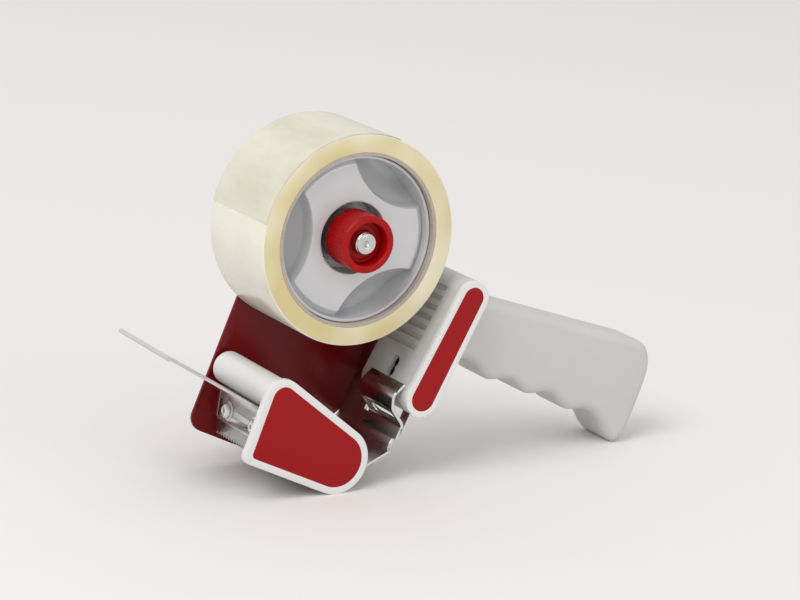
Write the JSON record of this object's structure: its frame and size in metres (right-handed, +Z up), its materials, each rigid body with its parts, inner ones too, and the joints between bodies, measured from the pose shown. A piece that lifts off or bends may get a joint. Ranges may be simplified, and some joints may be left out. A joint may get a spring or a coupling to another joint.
{
  "type": "packing tape dispenser",
  "caption": "Hand-held packing tape dispenser with pistol grip, spinning hub and knob brake, guide roller, saw blade, spring flap and a wide tape roll.",
  "frame": {"origin": "centre of the bounding box in plan, on the floor", "axes": "+X from the nose to the grip, +Z up, -Y towards the open side with the knob; the dispenser stands on its nose and the tip of its grip"},
  "size_m": [0.2642, 0.0616, 0.1629],
  "materials": {
    "red_enamel": "gloss enamel",
    "bright_zinc": "bright plated sheet",
    "white_plastic": "satin",
    "red_label": "smooth inlay",
    "steel": "plain",
    "black_rubber": "matt",
    "grey_plastic": "satin",
    "acetal": "satin",
    "blade_steel": "polished",
    "clear_film": "frosted translucent",
    "turned_steel": "turned",
    "fibre": "pressed fibre",
    "cardboard": "paper board",
    "tape": "wound clear film",
    "red_plastic": "gloss",
    "grip_plastic": "fine matt"
  },
  "bodies": {
    "frame": {"axle": "turned_steel", "blade": "blade_steel", "blade_holder": "bright_zinc", "blade_nuts": "steel", "blade_screws": "bright_zinc", "blade_washers": "bright_zinc", "bracket_cap": "white_plastic", "bracket_label": "red_label", "bracket_screws": "steel", "brake_disc": "steel", "chassis_web": "bright_zinc", "cover_screws": "steel", "flap_clamp": "bright_zinc", "flap_root": "clear_film", "handle_bracket": "grey_plastic", "handle_far_half": "grip_plastic", "handle_near_half": "grip_plastic", "handle_screws": "steel", "handle_tang": "steel", "nose_cover": "white_plastic", "nose_label": "red_label", "nose_rod": "steel", "roller_shaft": "steel", "side_plate": "red_enamel", "slotted_strap": "bright_zinc", "tang_rivets": "steel"},
    "roller": {"roller_sleeve": "black_rubber", "roller_tube": "grey_plastic", "roller_bushes": "acetal"},
    "flap": {"flap": "clear_film"},
    "hub": {"hub": "grey_plastic", "hub_bush": "acetal", "friction_washer": "fibre"},
    "roll": {"tape_core": "cardboard", "tape_roll": "tape", "tape_tail": "tape"},
    "brake": {"brake_spring": "steel", "pressure_washer": "steel"},
    "knob": {"tension_knob": "red_plastic", "knob_insert": "red_plastic"}
  },
  "joints": [
    {"name": "hub_spin", "type": "hinge", "parent": "frame", "child": "hub", "pos_m": [-0.04007, 0.00275, 0.11462], "axis": [0, 1, 0], "continuous": true},
    {"name": "roll_slide", "type": "slide", "parent": "hub", "child": "roll", "axis": [0, -1, 0], "range_m": [0, 0.07]},
    {"name": "knob_advance", "type": "slide", "parent": "frame", "child": "brake", "axis": [0, 1, 0], "range_m": [-0.003, 0.00075], "deforming": ["brake_spring"]},
    {"name": "knob_turn", "type": "hinge", "parent": "brake", "child": "knob", "pos_m": [-0.04007, -0.02225, 0.11462], "axis": [0, 1, 0], "range_deg": [-720, 180]},
    {"name": "roller_spin", "type": "hinge", "parent": "frame", "child": "roller", "pos_m": [-0.04877, 0.00275, 0.01551], "axis": [0, 1, 0], "continuous": true},
    {"name": "flap_bend", "type": "hinge", "parent": "frame", "child": "flap", "pos_m": [-0.08099, 0.00275, 0.0387], "axis": [0, 1, 0], "range_deg": [-30, 0], "stiffness_Nm_per_rad": 0.15, "springref_deg": 11.46}
  ],
  "couplings": [
    {"joint": "knob_advance", "follows": "knob_turn", "m_per_rad": 0.00023873}
  ]
}
